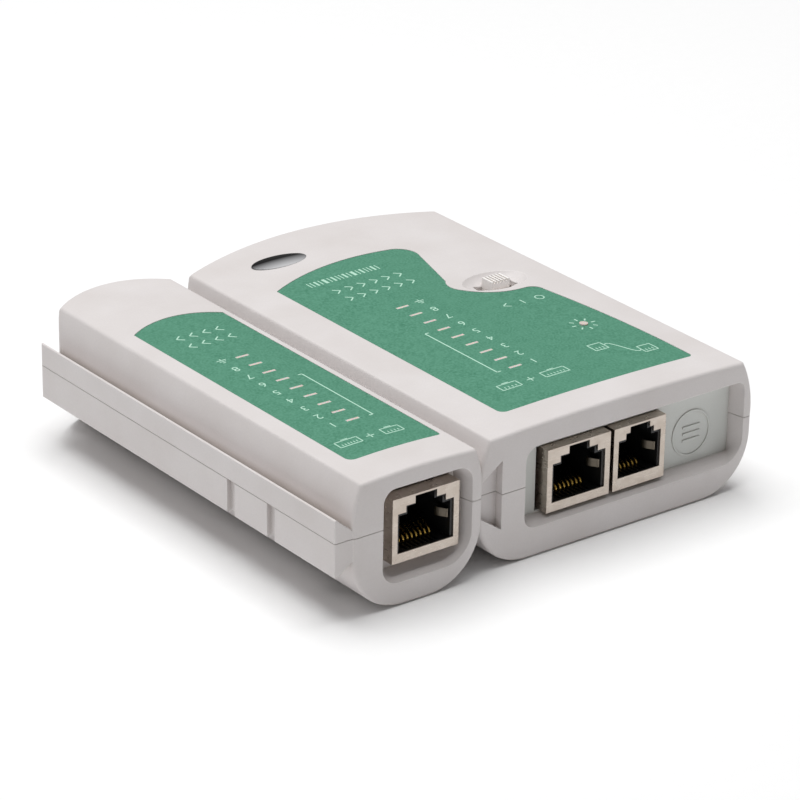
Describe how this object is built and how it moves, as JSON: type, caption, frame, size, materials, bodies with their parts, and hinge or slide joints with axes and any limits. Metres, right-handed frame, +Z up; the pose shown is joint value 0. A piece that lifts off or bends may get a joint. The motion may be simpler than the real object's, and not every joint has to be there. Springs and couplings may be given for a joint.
{
  "type": "network cable tester",
  "caption": "Two-part handheld network cable tester: a wide master unit and a narrow remote unit with modular sockets, lamp rows and a slide switch.",
  "frame": {"origin": "middle of the object's box, on the surface that it stands on", "axes": "+Z up, +Y to the back (sockets face -Y), +X from the remote unit to the master unit"},
  "size_m": [0.1025, 0.1076, 0.0283],
  "materials": {
    "housing_abs": "fine matte texture",
    "label_film": "satin printed film",
    "clear_bar": "frosted",
    "nickel": "satin nickel plate",
    "insert_black": "black moulding",
    "gold": "gold flash",
    "panel_abs": "smooth",
    "badge_black": "glossy dome",
    "knob_cream": "ribbed",
    "screw_zinc": "zinc plate",
    "board_phenolic": "bare board",
    "lamp_red": "diffused epoxy",
    "lamp_green": "diffused epoxy",
    "chip_black": "moulded epoxy",
    "tin": "tinned",
    "resistor_tan": "lacquer",
    "diode_glass": "glass bead",
    "capacitor_sleeve": "shrink sleeve",
    "battery_case": "printed steel",
    "snap_vinyl": "vinyl",
    "lead_red": "pvc",
    "lead_black": "pvc"
  },
  "bodies": {
    "master": {"master_upper_shell": "housing_abs", "master_lower_shell": "housing_abs", "port_panel": "panel_abs", "master_label": "label_film", "master_light_windows": "clear_bar", "power_lens": "clear_bar", "oval_badge": "badge_black", "switch_frame": "nickel", "switch_terminals": "tin", "master_rj45_shield": "nickel", "master_rj11_shield": "nickel", "master_rj45_insert": "insert_black", "master_rj11_insert": "insert_black", "master_rj45_contacts": "gold", "master_rj11_contacts": "gold", "master_board": "board_phenolic", "master_board_screws": "screw_zinc", "master_case_screws": "screw_zinc", "master_lamps": "lamp_red", "power_lamp": "lamp_green", "master_resistors": "resistor_tan", "control_chip": "chip_black", "timer_chip": "chip_black", "chip_pins": "tin", "timing_capacitor": "capacitor_sleeve", "battery_9v": "battery_case", "battery_studs": "nickel", "battery_snap": "snap_vinyl", "battery_lead_red": "lead_red", "battery_lead_black": "lead_black"},
    "switch_knob": {"switch_slider": "knob_cream"},
    "door": {"battery_door": "housing_abs"},
    "remote": {"remote_upper_shell": "housing_abs", "remote_lower_shell": "housing_abs", "remote_label": "label_film", "remote_light_windows": "clear_bar", "remote_rj45_shield": "nickel", "remote_rj45_insert": "insert_black", "remote_rj45_contacts": "gold", "remote_board": "board_phenolic", "remote_board_screws": "screw_zinc", "remote_case_screws": "screw_zinc", "remote_lamps": "lamp_red", "remote_diodes": "diode_glass"}
  },
  "joints": [
    {"name": "switch_slide", "type": "slide", "parent": "master", "child": "switch_knob", "axis": [1, 0, 0], "range_m": [-0.002, 0.002]},
    {"name": "door_slide", "type": "slide", "parent": "master", "child": "door", "axis": [0, 1, 0], "range_m": [0, 0.05]},
    {"name": "remote_slide", "type": "slide", "parent": "master", "child": "remote", "axis": [0, 1, 0], "range_m": [0, 0.108]}
  ]
}
